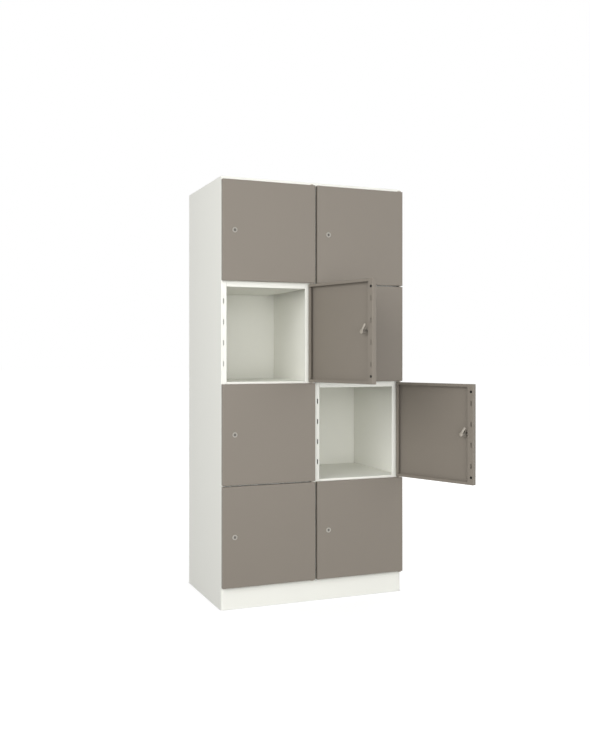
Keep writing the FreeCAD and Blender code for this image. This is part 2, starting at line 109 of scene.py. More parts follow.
# What the frame says of the doors and their locks
JOINTS = {joint["name"]: joint for joint in frame["joints"]}
DOORS = [name.removeprefix("door_swing_") for name in JOINTS if name.startswith("door_swing_")]
CARCASS_NODES = frame["record"]["behaviour"]["bodies"]["carcass"]
HINGE_NODES = ("hinge_brackets", "hinge_pins")
POST_NODES = ("left_side_panel", "centre_post")
SHELF_NODES = [node for node in CARCASS_NODES if node.startswith("shelf_")]


def rest_angle(joint):
    """Angle in radians by which a joint stands away from its closed end at rest."""
    return -math.radians(JOINTS[joint]["range_deg"][0])


def lock_place(door):
    """Matrix for a lock drawn round the Y axis, with Y running into the cabinet from the cam's front."""
    centre = Vector(JOINTS[f"lock_turn_{door}"]["pos_m"])
    return Matrix.Translation(centre) @ Matrix.Rotation(rest_angle(f"door_swing_{door}"), 4, "Z")


def core_place(door):
    """Matrix for the turning core of a lock, which also stands at the lock's own angle."""
    turn = Matrix.Rotation(-rest_angle(f"lock_turn_{door}"), 4, "Y")
    return lock_place(door) @ turn


# A closed door gives the sizes of its lock and buffers
SHUT_DOOR = next(door for door in DOORS if rest_angle(f"door_swing_{door}") == 0)
LOCK_CENTRE = JOINTS[f"lock_turn_{SHUT_DOOR}"]["pos_m"]


def plane(piece, end):
    """Front (0) or rear (1) of a piece of the closed door, as a distance behind the cam's front."""
    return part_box(f"{piece}_{SHUT_DOOR}")[end].y - LOCK_CENTRE[1]


SKIN = plane("door", 0)
DOOR_INSIDE = plane("door", 1)
LOCK_FACE = plane("lock_housing", 0)
BARREL_END = plane("lock_housing", 1)
PLUG_FACE = plane("lock_plug", 0)
SCREW_TOP = plane("lock_cam", 1)
CAM_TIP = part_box(f"lock_cam_{SHUT_DOOR}")[1].z - LOCK_CENTRE[2]
BUFFER_CROWN = plane("door_buffers", 1) - DOOR_INSIDE
BUFFER_LOW, BUFFER_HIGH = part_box(f"door_buffers_{SHUT_DOOR}")
BUFFER_RADIUS = (BUFFER_HIGH.x - BUFFER_LOW.x) / 2


def colour_setting(name, description, default):
    """Setting for a colour."""
    return FloatVectorProperty(
        name=name, description=description, subtype="COLOR", min=0, max=1, default=default)


def share_setting(name, description, default):
    """Setting for a share between none and all."""
    return FloatProperty(name=name, description=description, subtype="FACTOR", min=0, max=1, default=default)


def length_setting(name, description, default):
    """Setting for a length in metres."""
    return FloatProperty(
        name=name, description=description, subtype="DISTANCE", unit="LENGTH", min=0, default=default)


def place_setting(name, description, default):
    """Setting for a place in the room, in metres."""
    return FloatVectorProperty(
        name=name, description=description, subtype="TRANSLATION", unit="LENGTH", default=default)


def power_setting(name, description, default):
    """Setting for a lamp's power in watts."""
    return FloatProperty(name=name, description=description, unit="POWER", min=0, default=default)


class LockerFinish(bpy.types.PropertyGroup):
    """Colours and textures of the paint, the metal and the rubber, and the painted shade in the post hollows, the
    keyways and behind the locks.
    """

    body_paint: colour_setting("Body Paint", "Powder coat of the carcass", (0.885, 0.885, 0.824))
    body_clouds: share_setting("Body Clouds", "Depth of the soft clouds in the carcass's coat", 0.035)
    door_paint: colour_setting("Door Paint", "Powder coat of the doors", (0.229, 0.202, 0.169))
    door_clouds: share_setting("Door Clouds", "Depth of the soft clouds in the doors' coat", 0.06)
    paint_roughness: share_setting("Paint Roughness", "Mean roughness of the powder coat", 0.48)
    grain_size: length_setting("Grain Size", "Width of one dimple of the powder coat", 1.1 * MM)
    # Painted shade inside the post hollows: a greyer white in the left post and near black in the centre post,
    # darker than the paint to stand for the shade behind the slots.
    left_hollow_painted_shade: colour_setting(
        "Thin Coat", "Inside of the left post, where little paint reaches", (0.64, 0.64, 0.595))
    centre_hollow_painted_shade: colour_setting(
        "Bare Steel", "Inside of the centre post, where no paint reaches", (0.030, 0.029, 0.027))
    nickel: colour_setting("Nickel", "Satin plating of the lock faces", (0.50, 0.475, 0.430))
    plug_shine: share_setting("Plug Shine", "Share of the nickel's colour left on a plug", 0.55)
    # Painted shade: the inside of each keyway is a near-black share of the nickel.
    keyway_shade_share: share_setting("Keyway Shine", "Share of the nickel's colour inside a keyway", 0.06)
    zinc: colour_setting("Zinc", "Plating of the cams and hinge pieces", (0.54, 0.497, 0.435))
    # Painted shade: the barrels and nuts are darker copies of the zinc, for the shade behind the door's skin.
    barrel_zinc: colour_setting("Barrel Zinc", "Dark zinc of the lock barrels", (0.27, 0.246, 0.212))
    nut_zinc: colour_setting("Nut Zinc", "Dull zinc of the lock nuts", (0.34, 0.31, 0.268))
    rubber: colour_setting("Rubber", "Colour of the buffers", (0.008, 0.0075, 0.007))


class LockerHardware(bpy.types.PropertyGroup):
    """Sizes of the locks and the weld marks."""

    face_radius: length_setting("Lock Face Radius", "Outer radius of the ring round a lock", 11 * MM)
    barrel_radius: length_setting("Barrel Radius", "Outer radius of a lock's thread", 9.25 * MM)
    barrel_flats: length_setting("Barrel Flats", "Height of a barrel across its two flats", 16.4 * MM)
    thread_pitch: length_setting("Thread Pitch", "Distance between two turns of the thread", 1.5 * MM)
    nut_flats: length_setting("Nut Size", "Width of a lock's nut across flats", 24 * MM)
    nut_height: length_setting("Nut Height", "Thickness of a lock's nut", 5 * MM)
    nut_seat: length_setting("Nut Seat", "Distance from a door's front to its lock's nut", 1.2 * MM)
    nut_play: length_setting("Nut Play", "Gap between a nut and the thread", 0.1 * MM)
    plug_radius: length_setting("Plug Radius", "Radius of the part that the key turns", 6 * MM)
    plug_play: length_setting("Plug Play", "Gap between a plug and its barrel", 0.06 * MM)
    plug_chamfer: length_setting("Plug Chamfer", "Chamfer round a plug's face", 0.4 * MM)
    keyway_width: length_setting("Keyway Width", "Width of the slot for the key", 2.4 * MM)
    keyway_height: length_setting("Keyway Height", "Height of the slot for the key", 8 * MM)
    keyway_depth: length_setting("Keyway Depth", "Depth of the slot for the key", 9 * MM)
    keyway_chamfer: length_setting("Keyway Chamfer", "Chamfer round the mouth of the slot", 0.25 * MM)
    cam_thickness: length_setting("Cam Thickness", "Thickness of a lock's cam", 2.5 * MM)
    cam_width: length_setting("Cam Width", "Width of a cam's arm", 10 * MM)
    cam_corner: length_setting("Cam Corner", "Radius of the corners at a cam's tip", 4 * MM)
    cam_hub: length_setting("Cam Hub", "Radius of a cam round its screw", 9 * MM)
    cam_edge: length_setting("Cam Edge", "Rounding of a cam's stamped edges", 0.35 * MM)
    screw_flats: length_setting("Screw Size", "Width of a cam screw's head across flats", 7 * MM)
    flange_radius: length_setting("Flange Radius", "Radius of the flange under a screw's head", 5.6 * MM)
    flange_height: length_setting("Flange Height", "Thickness of that flange", 0.9 * MM)
    flange_rim: length_setting("Flange Rim", "Height of its rim and width of its bevel", 0.5 * MM)
    head_sink: length_setting("Head Sink", "How far a screw's head starts inside its flange", 0.3 * MM)
    weld_radius: length_setting("Weld Mark Radius", "Radius of one spot weld's mark", 3.2 * MM)
    weld_height: length_setting("Weld Mark Height", "How far a weld mark's rim stands up", 0.25 * MM)
    weld_spacing: length_setting("Weld Spacing", "Distance between two spot welds", 62 * MM)
    round_steps: IntProperty(
        name="Round Steps", description="Sides of a circle on turned pieces", min=12, default=48)


class LockerStudio(bpy.types.PropertyGroup):
    """Camera, light and floor of the studio."""

    camera_place: place_setting("Camera Place", "Where the camera stands", (-1.529, -3.802, 1.058))
    camera_yaw: FloatProperty(
        name="Camera Yaw", description="Turn of the camera to the right of straight ahead", subtype="ANGLE",
        default=math.radians(22.05))
    camera_lens: FloatProperty(
        name="Lens", description="Focal length for a sensor of 36 mm", unit="CAMERA", default=43.7)
    camera_shift: FloatProperty(
        name="Vertical Shift", description="Shift that keeps upright edges upright", default=-0.019)
    ambient: FloatProperty(
        name="Ambient", description="Light from all round", min=0, default=0.39)
    right_power: power_setting("Right Power", "Power of the lamp on the right", 53)
    right_place: place_setting("Right Place", "Where the lamp on the right hangs", (2.1, -3.9, 1.8))
    left_power: power_setting("Left Power", "Power of the lamp on the left", 106)
    left_place: place_setting("Left Place", "Where the lamp on the left hangs", (-3.5, -2.6, 2.2))
    front_power: power_setting("Front Power", "Power of the lamp in front", 79)
    front_place: place_setting("Front Place", "Where the lamp in front hangs", (-1.1, -4.4, 1.0))
    rear_power: power_setting("Rear Power", "Power of the lamp behind", 88)
    rear_place: place_setting("Rear Place", "Where the lamp behind hangs", (3.0, 3.1, 2.1))
    lamp_size: length_setting("Lamp Size", "Side of each lamp", 2.8)
    floor_colour: colour_setting("Floor Colour", "Colour of the floor in the light", (0.25, 0.25, 0.245))
    floor_lift: share_setting("Floor Lift", "White of the floor beside what its light gives", 0.93)
    floor_shade: share_setting("Floor Shade", "How much of that white is missing at the cabinet", 0.13)
    floor_shade_reach: length_setting("Floor Shade Reach", "How far from the middle it is missing", 2.6)
    # Painted contact shadow: ambient occlusion darkens the floor's own glow within this reach of the foot.
    contact_shade_reach: length_setting("Contact Reach", "Width of the dark line at the foot", 10 * MM)


def add_node(tree, kind, inputs=None, **settings):
    """Add a node, set its options and the values of its inputs, which are given by name or number."""
    node = tree.nodes.new(kind)
    for name, value in settings.items():
        setattr(node, name, value)
    for name, value in (inputs or {}).items():
        node.inputs[name].default_value = value
    return node


def shared(name, make):
    """A node group that is built once and then used again."""
    return bpy.data.node_groups.get(name) or make()


def material_of(name, make, finish):
    """A material that is built once and then used again."""
    return bpy.data.materials.get(name) or make(finish)


def texture_group(name, numbers):
    """Shader node group with a place and a colour, some numbers, and a colour, roughness and height out."""
    group = bpy.data.node_groups.new(name, "ShaderNodeTree")
    group.interface.new_socket("Place", in_out="INPUT", socket_type="NodeSocketVector")
    group.interface.new_socket("Colour", in_out="INPUT", socket_type="NodeSocketColor")
    for number, value in numbers.items():
        socket = group.interface.new_socket(number, in_out="INPUT", socket_type="NodeSocketFloat")
        socket.default_value = value
    group.interface.new_socket("Colour", in_out="OUTPUT", socket_type="NodeSocketColor")
    group.interface.new_socket("Roughness", in_out="OUTPUT", socket_type="NodeSocketFloat")
    group.interface.new_socket("Height", in_out="OUTPUT", socket_type="NodeSocketFloat")
    return group, add_node(group, "NodeGroupInput"), add_node(group, "NodeGroupOutput")


def noise(group, given, scale, detail, roughness):
    """Noise over a group's place, as fine as the group's input of the given name says."""
    texture = add_node(group, "ShaderNodeTexNoise", {"Detail": detail, "Roughness": roughness})
    group.links.new(given.outputs["Place"], texture.inputs["Vector"])
    group.links.new(given.outputs[scale], texture.inputs["Scale"])
    return texture.outputs["Fac"]


def spread(tree, source, amount, middle):
    """Nodes that turn a noise of 0 to 1 into middle plus or minus half of amount. Both may be sockets."""
    centred = add_node(tree, "ShaderNodeMath", {1: 0.5}, operation="SUBTRACT")
    tree.links.new(source, centred.inputs[0])
    scaled = add_node(tree, "ShaderNodeMath", operation="MULTIPLY_ADD")
    tree.links.new(centred.outputs[0], scaled.inputs[0])
    for number, value in ((1, amount), (2, middle)):
        if isinstance(value, (int, float)):
            scaled.inputs[number].default_value = value
        else:
            tree.links.new(value, scaled.inputs[number])
    return scaled.outputs[0]


def tinted(tree, colour, value):
    """Node that makes a colour lighter or darker by a factor."""
    tint = add_node(tree, "ShaderNodeHueSaturation")
    tree.links.new(colour, tint.inputs["Color"])
    tree.links.new(value, tint.inputs["Value"])
    return tint.outputs["Color"]


def powder_coat_group():
    """Dimples of a powder coat, with broad soft clouds from the spraying and slight waves of the sheet."""
    group, given, made = texture_group("powder_coat_texture", {
        "Grain": 900.0, "Clouds": 3.0, "Cloud Depth": 0.05, "Roughness": 0.5})
    grain = noise(group, given, "Grain", detail=2.0, roughness=0.55)
    clouds = noise(group, given, "Clouds", detail=3.0, roughness=0.5)
    shade = spread(group, clouds, amount=given.outputs["Cloud Depth"], middle=1.0)
    speckle = spread(group, grain, amount=0.06, middle=shade)
    group.links.new(tinted(group, given.outputs["Colour"], speckle), made.inputs["Colour"])
    rough = spread(group, clouds, amount=0.12, middle=given.outputs["Roughness"])
    group.links.new(spread(group, grain, amount=0.10, middle=rough), made.inputs["Roughness"])
    waves = spread(group, clouds, amount=1.5, middle=0.0)
    group.links.new(spread(group, grain, amount=1.0, middle=waves), made.inputs["Height"])
    return group


def plated_metal_group():
    """Fine streaks and dull patches of a plated surface. The streaks run where the place changes slowly."""
    group, given, made = texture_group("plated_metal_texture", {
        "Streaks": 1.0, "Patches": 60.0, "Roughness": 0.3, "Roughness Spread": 0.2})
    streaks = noise(group, given, "Streaks", detail=3.0, roughness=0.6)
    patches = noise(group, given, "Patches", detail=2.0, roughness=0.5)
    shade = spread(group, patches, amount=0.14, middle=1.0)
    lined = spread(group, streaks, amount=0.12, middle=shade)
    group.links.new(tinted(group, given.outputs["Colour"], lined), made.inputs["Colour"])
    rough = spread(group, patches, given.outputs["Roughness Spread"], given.outputs["Roughness"])
    group.links.new(spread(group, streaks, amount=0.10, middle=rough), made.inputs["Roughness"])
    group.links.new(streaks, made.inputs["Height"])
    return group


def inside_box_group():
    """Mask that is 1 for places between two corners and 0 elsewhere."""
    group = bpy.data.node_groups.new("inside_box_mask", "ShaderNodeTree")
    for name in ("Place", "Low", "High"):
        group.interface.new_socket(name, in_out="INPUT", socket_type="NodeSocketVector")
    group.interface.new_socket("Mask", in_out="OUTPUT", socket_type="NodeSocketFloat")
    given = add_node(group, "NodeGroupInput")
    mask = None
    for first, second in (("Place", "Low"), ("High", "Place")):
        margin = add_node(group, "ShaderNodeVectorMath", operation="SUBTRACT")
        group.links.new(given.outputs[first], margin.inputs[0])
        group.links.new(given.outputs[second], margin.inputs[1])
        parts = add_node(group, "ShaderNodeSeparateXYZ")
        group.links.new(margin.outputs[0], parts.inputs[0])
        for part in parts.outputs:
            if mask is None:
                mask = part
                continue
            least = add_node(group, "ShaderNodeMath", operation="MINIMUM")
            group.links.new(mask, least.inputs[0])
            group.links.new(part, least.inputs[1])
            mask = least.outputs[0]
    inside = add_node(group, "ShaderNodeMath", {1: 0.0}, operation="GREATER_THAN")
    group.links.new(mask, inside.inputs[0])
    made = add_node(group, "NodeGroupOutput")
    group.links.new(inside.outputs[0], made.inputs["Mask"])
    return group


def recoloured_inside(material, box, colour):
    """Give a coated material another colour inside a box, which is a pair of corners; here it paints shade inside
    the post hollows.
    """
    tree = material.node_tree
    surface = next(node for node in tree.nodes if node.type == "BSDF_PRINCIPLED")
    coated = surface.inputs["Base Color"].links[0].from_socket
    where = add_node(tree, "ShaderNodeTexCoord").outputs["Object"]
    mask = add_node(tree, "ShaderNodeGroup", {"Low": box[0], "High": box[1]},
                    node_tree=shared("inside_box_mask", inside_box_group))
    tree.links.new(where, mask.inputs["Place"])
    inner = add_node(tree, "ShaderNodeMix", {"B": (*colour, 1)}, data_type="RGBA")
    tree.links.new(mask.outputs["Mask"], inner.inputs["Factor"])
    tree.links.new(coated, inner.inputs["A"])
    tree.links.new(inner.outputs["Result"], surface.inputs["Base Color"])
    return material


def post_hollows():
    """Corners of the closed hollows in the two lock posts, just inside the metal's outer faces."""
    skin = 0.6 * MM
    low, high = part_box("centre_post")
    width = high.x
    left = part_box("left_side_panel")[0].x
    walls = (left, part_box("centre_partition")[0].x)
    ends = (left + width, width)
    return [((wall + skin, low.y + skin, low.z), (end - skin, high.y - skin, high.z))
            for wall, end in zip(walls, ends)]


def textured_material(name, group, colour, numbers, relief, coordinates="Object", stretch=None, inputs=None):
    """Material whose colour, roughness and relief come from a texture group."""
    material = bpy.data.materials.new(name)
    material.use_nodes = True
    tree = material.node_tree
    tree.nodes.clear()
    where = add_node(tree, "ShaderNodeTexCoord").outputs[coordinates]
    if stretch:
        mapping = add_node(tree, "ShaderNodeMapping", {"Scale": stretch})
        tree.links.new(where, mapping.inputs["Vector"])
        where = mapping.outputs["Vector"]
    texture = add_node(tree, "ShaderNodeGroup", {"Colour": (*colour, 1), **numbers}, node_tree=group)
    tree.links.new(where, texture.inputs["Place"])
    bump = add_node(tree, "ShaderNodeBump", {"Strength": relief, "Distance": BUMP_HEIGHT})
    tree.links.new(texture.outputs["Height"], bump.inputs["Height"])
    surface = add_node(tree, "ShaderNodeBsdfPrincipled", inputs)
    tree.links.new(texture.outputs["Colour"], surface.inputs["Base Color"])
    tree.links.new(texture.outputs["Roughness"], surface.inputs["Roughness"])
    tree.links.new(bump.outputs["Normal"], surface.inputs["Normal"])
    output = add_node(tree, "ShaderNodeOutputMaterial")
    tree.links.new(surface.outputs["BSDF"], output.inputs["Surface"])
    return material


def powder_coat(name, colour, clouds, finish):
    """Matt powder coat in one colour."""
    group = shared("powder_coat_texture", powder_coat_group)
    numbers = {"Grain": 1 / finish.grain_size, "Clouds": 3.2, "Cloud Depth": clouds,
               "Roughness": finish.paint_roughness}
    return textured_material(name, group, colour, numbers, relief=0.35)


def white_coat(finish):
    """White powder coat of the carcass."""
    return powder_coat("white_powder_coat", finish.body_paint, finish.body_clouds, finish)


def taupe_coat(finish):
    """Taupe powder coat of the doors."""
    return powder_coat("taupe_powder_coat", finish.door_paint, finish.door_clouds, finish)


def plated(name, colour, numbers, relief, **options):
    """Plated metal in one colour."""
    group = shared("plated_metal_texture", plated_metal_group)
    return textured_material(name, group, colour, numbers, relief, inputs={"Metallic": 1.0}, **options)


def satin_nickel(finish):
    """Nickel with fine turning lines round each piece, drawn along its own turning map."""
    numbers = {"Streaks": 1.0, "Patches": 0.05, "Roughness": 0.34, "Roughness Spread": 0.12}
    return plated("satin_nickel", finish.nickel, numbers, relief=0.25, coordinates="UV",
                  stretch=TURNING_LINES)


def worn_nickel(finish):
    """Plug face, dulled by keys."""
    colour = [finish.plug_shine * part for part in finish.nickel]
    numbers = {"Streaks": 1.0, "Patches": 0.05, "Roughness": 0.44, "Roughness Spread": 0.2}
    return plated("worn_nickel", colour, numbers, relief=0.3, coordinates="UV", stretch=TURNING_LINES)


def shaded_zinc(name, colour):
    """Zinc darkened as painted shade, for the barrels and nuts in the shade behind the door skin."""
    numbers = {"Streaks": 600.0, "Patches": 140.0, "Roughness": 0.5, "Roughness Spread": 0.24}
    return plated(name, colour, numbers, relief=0.2)


def plated_zinc(finish):
    """Zinc plating with short rolling streaks and dull patches."""
    numbers = {"Streaks": 450.0, "Patches": 90.0, "Roughness": 0.36, "Roughness Spread": 0.24}
    return plated("plated_zinc", finish.zinc, numbers, relief=0.3, stretch=ROLLING_LINES)


def keyway_shade(finish):
    """Near-black brown inside a keyway: painted shade of the deep narrow slot."""
    group = shared("plated_metal_texture", plated_metal_group)
    colour = [finish.keyway_shade_share * part for part in finish.nickel]
    numbers = {"Streaks": 900.0, "Patches": 300.0, "Roughness": 0.6, "Roughness Spread": 0.2}
    return textured_material("keyway_shade", group, colour, numbers, relief=0.2)


def moulded_rubber(finish):
    """Black rubber with a moulded grain."""
    group = shared("powder_coat_texture", powder_coat_group)
    numbers = {"Grain": 1400.0, "Clouds": 80.0, "Cloud Depth": 0.3, "Roughness": 0.62}
    return textured_material("moulded_rubber", group, finish.rubber, numbers, relief=0.3,
                             inputs={"Specular IOR Level": 0.25})


def coat(nodes, material):
    """Give solids of the frame a material."""
    for name in nodes:
        for slot in frame["nodes"][name].material_slots:
            slot.material = material


def turned(section, steps, bend=None):
    """Piece made by carrying a section of (radius, y) points round the Y axis.

    The section is a closed line, unless it starts and ends on the axis. bend may move each point: it takes
    the angle, radius and y of a point and gives its radius, y and the height limit of a flat, or none.
    """
    piece = bmesh.new()
    turning = piece.loops.layers.uv.new("turning")
    rings = []
    for step in range(steps):
        angle = 2 * math.pi * step / steps
        ring = []
        for radius, y in section:
            flat = None
            if bend:
                radius, y, flat = bend(angle, radius, y)
            height = radius * math.sin(angle)
            if flat:
                height = max(-flat, min(flat, height))
            ring.append(piece.verts.new((radius * math.cos(angle), y, height)))
        rings.append(ring)
    along = [0.0]
    for start, end in zip(section, section[1:] + section[:1]):
        along.append(along[-1] + math.dist(start, end))
    last = len(section) if section[0][0] > 0 else len(section) - 1
    for step in range(steps):
        here = rings[step]
        there = rings[(step + 1) % steps]
        for i in range(last):
            j = (i + 1) % len(section)
            face = piece.faces.new((here[i], here[j], there[j], there[i]))
            corners = ((step, i), (step, i + 1), (step + 1, i + 1), (step + 1, i))
            for loop, (around, place) in zip(face.loops, corners):
                loop[turning].uv = (around / steps, along[place])
    bmesh.ops.remove_doubles(piece, verts=piece.verts, dist=SAME_POINT)
    bmesh.ops.recalc_face_normals(piece, faces=piece.faces)
    return piece


def hexagon(bore, flats, low, high, steps):
    """Chamfered hexagon between two planes. A bore of 0 makes it solid."""
    inner = flats / 2
    outer = flats / math.sqrt(3)
    middle = (low + high) / 2

    def bend(angle, radius, y):
        if radius <= inner:
            return radius, y, None
        reach = inner / math.cos(angle % (math.pi / 3) - math.pi / 6)
        drop = (reach - inner) * math.tan(HEXAGON_CHAMFER) + HEXAGON_EDGE
        return reach, y + drop if y < middle else y - drop, None

    section = [(bore, low), (inner, low), (outer, low), (outer, high), (inner, high), (bore, high)]
    return turned(section, steps, bend)


def joined_mesh(name, parts, place):
    """One mesh from several built shapes, with their material numbers, moved to a place."""
    mesh = bpy.data.meshes.new(name)
    whole = bmesh.new()
    for part in parts:
        scratch = bpy.data.meshes.new("scratch")
        part.to_mesh(scratch)
        part.free()
        whole.from_mesh(scratch)
        bpy.data.meshes.remove(scratch)
    whole.transform(place)
    whole.to_mesh(mesh)
    whole.free()
    return mesh


def finish_piece(name, mesh, materials, body, node=None):
    """Object for a finished mesh, riding on its body in place of a solid of the frame, if one is named."""
    piece = bpy.data.objects.new(name, mesh)
    bpy.context.scene.collection.objects.link(piece)
    for material in materials:
        if material.name not in mesh.materials:
            mesh.materials.append(material)
    mesh.shade_smooth()
    mesh.set_sharp_from_angle(angle=SHARP_ANGLE)
    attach(piece, body)
    if node:
        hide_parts(node)
    return piece


def threaded_barrel(sizes):
    """Lock barrel with a helical thread and two flats, behind the door's skin."""
    pitch = sizes.thread_pitch
    bore = sizes.plug_radius + sizes.plug_play
    rows = THREAD_POINTS * int((BARREL_END - SKIN) / pitch)
    step = (BARREL_END - SKIN) / rows
    section = [(sizes.barrel_radius, SKIN + step * i) for i in range(rows + 1)]
    section += [(bore, BARREL_END), (bore, SKIN)]

    def bend(angle, radius, y):
        if radius == bore:
            return radius, y, None
        phase = ((y - SKIN) / pitch - angle / (2 * math.pi)) % 1
        groove = THREAD_DEPTH * pitch * abs(2 * phase - 1)
        return radius - groove, y, sizes.barrel_flats / 2

    return turned(section, sizes.round_steps, bend)


def lock_ring(sizes):
    """Face ring of a lock, with a soft outer edge and a shallow groove round the plug."""
    bore = sizes.plug_radius + sizes.plug_play
    rim = sizes.face_radius
    section = [(bore + out * MM, LOCK_FACE + depth * MM) for out, depth in RING_GROOVE]
    section += [(rim - inset * MM, LOCK_FACE + depth * MM) for inset, depth in RING_EDGE]
    section += [(rim, SKIN), (bore, SKIN)]
    return turned(section, sizes.round_steps)


def lock_nut(sizes):
    """Flat hexagon nut that clamps a lock against the inside of the door's skin."""
    bore = sizes.barrel_radius + sizes.nut_play
    low = SKIN + sizes.nut_seat
    return hexagon(bore, sizes.nut_flats, low, low + sizes.nut_height, 2 * sizes.round_steps)


def keyed_plug(sizes):
    """Plug of a lock with a keyway: rings from its back over the rim to the slot and down into it."""
    piece = bmesh.new()
    turning = piece.loops.layers.uv.new("turning")
    radius = sizes.plug_radius
    wide = sizes.keyway_width / 2
    high = sizes.keyway_height / 2
    corner = math.atan2(high, wide)
    angles = [2 * math.pi * step / sizes.round_steps for step in range(sizes.round_steps)]
    angles += [corner, math.pi - corner, math.pi + corner, 2 * math.pi - corner]
    angles = sorted(set(angles))

    def slot_reach(angle):
        across = wide / max(abs(math.cos(angle)), NEAR_ZERO)
        upwards = high / max(abs(math.sin(angle)), NEAR_ZERO)
        return min(across, upwards)

    floor = PLUG_FACE + sizes.keyway_depth
    levels = [
        (lambda angle: radius, BARREL_END),
        (lambda angle: radius, PLUG_FACE + sizes.plug_chamfer),
        (lambda angle: radius - sizes.plug_chamfer, PLUG_FACE),
        (lambda angle: slot_reach(angle) + sizes.keyway_chamfer, PLUG_FACE),
        (slot_reach, PLUG_FACE + sizes.keyway_chamfer),
        (slot_reach, floor),
        (lambda angle: 0.0, floor),
    ]
    first_in_slot = 4
    rings = []
    for reach, y in levels:
        rings.append([piece.verts.new((reach(a) * math.cos(a), y, reach(a) * math.sin(a))) for a in angles])
    for level in range(len(levels) - 1):
        ring = rings[level]
        following = rings[level + 1]
        for i in range(len(angles)):
            j = (i + 1) % len(angles)
            face = piece.faces.new((ring[i], ring[j], following[j], following[i]))
            face.material_index = 1 if level >= first_in_slot else 0
            for loop in face.loops:
                point = loop.vert.co
                loop[turning].uv = (point.z / radius, math.hypot(point.x, point.z))
    piece.faces.new(rings[0])
    bmesh.ops.remove_doubles(piece, verts=piece.verts, dist=SAME_POINT)
    bmesh.ops.recalc_face_normals(piece, faces=piece.faces)
    return piece


def cam_outline(sizes):
    """Outline of a cam in (x, z): a round hub and an arm with rounded corners, pointing up."""
    half = sizes.cam_width / 2
    hub = sizes.cam_hub
    corner = sizes.cam_corner
    start = math.acos(half / hub)
    sweep = math.pi + 2 * start
    points = []
    for i in range(HUB_STEPS + 1):
        angle = start - sweep * i / HUB_STEPS
        points.append((hub * math.cos(angle), hub * math.sin(angle)))
    for side, first in ((-1, math.pi), (1, math.pi / 2)):
        for i in range(CORNER_STEPS + 1):
            angle = first - math.pi / 2 * i / CORNER_STEPS
            points.append((side * (half - corner) + corner * math.cos(angle),
                           CAM_TIP - corner + corner * math.sin(angle)))
    return points


def stamped_cam(sizes):
    """Flat cam with the rounded edges of a stamping."""
    piece = bmesh.new()
    piece.loops.layers.uv.new("turning")
    outline = [piece.verts.new((x, 0, z)) for x, z in cam_outline(sizes)]
    front = piece.faces.new(outline)
    swept = bmesh.ops.extrude_face_region(piece, geom=[front])
    moved = [item for item in swept["geom"] if isinstance(item, bmesh.types.BMVert)]
    bmesh.ops.translate(piece, verts=moved, vec=(0, sizes.cam_thickness, 0))
    bmesh.ops.recalc_face_normals(piece, faces=piece.faces)
    rims = [edge for edge in piece.edges if abs(edge.verts[0].co.y - edge.verts[1].co.y) < SAME_POINT]
    bmesh.ops.bevel(piece, geom=rims, offset=sizes.cam_edge, segments=2, profile=0.5, affect="EDGES")
    return piece


def cam_screw(sizes):
    """Flanged hexagon screw that holds a cam on its plug."""
    seat = sizes.cam_thickness
    top = seat + sizes.flange_height
    wide = sizes.flange_radius
    rim = sizes.flange_rim
    flange = turned([(0, seat), (wide, seat), (wide, seat + rim), (wide - rim, top), (0, top)],
                    sizes.round_steps)
    head = hexagon(0, sizes.screw_flats, top - sizes.head_sink, SCREW_TOP, sizes.round_steps)
    return [flange, head]


def line_tree():
    """Geometry nodes that set one shape at even spacing along every edge of a mesh."""
    tree = bpy.data.node_groups.new("pieces_along_lines", "GeometryNodeTree")
    sockets = {"Lines": "Geometry", "Shape": "Object", "Spacing": "Float", "Turn": "Rotation",
               "Finish": "Material"}
    for name, kind in sockets.items():
        tree.interface.new_socket(name, in_out="INPUT", socket_type=f"NodeSocket{kind}")
    tree.interface.new_socket("Pieces", in_out="OUTPUT", socket_type="NodeSocketGeometry")
    given = add_node(tree, "NodeGroupInput")
    curve = add_node(tree, "GeometryNodeMeshToCurve")
    places = add_node(tree, "GeometryNodeResampleCurve", mode="LENGTH")
    shape = add_node(tree, "GeometryNodeObjectInfo", transform_space="ORIGINAL")
    repeat = add_node(tree, "GeometryNodeInstanceOnPoints")
    real = add_node(tree, "GeometryNodeRealizeInstances")
    finish = add_node(tree, "GeometryNodeSetMaterial")
    made = add_node(tree, "NodeGroupOutput")
    links = tree.links
    links.new(given.outputs["Lines"], curve.inputs["Mesh"])
    links.new(curve.outputs["Curve"], places.inputs["Curve"])
    links.new(given.outputs["Spacing"], places.inputs["Length"])
    links.new(given.outputs["Shape"], shape.inputs["Object"])
    links.new(places.outputs["Curve"], repeat.inputs["Points"])
    links.new(shape.outputs["Geometry"], repeat.inputs["Instance"])
    links.new(given.outputs["Turn"], repeat.inputs["Rotation"])
    links.new(repeat.outputs["Instances"], real.inputs["Geometry"])
    links.new(real.outputs["Geometry"], finish.inputs["Geometry"])
    links.new(given.outputs["Finish"], finish.inputs["Material"])
    links.new(finish.outputs["Geometry"], made.inputs["Pieces"])
    return tree


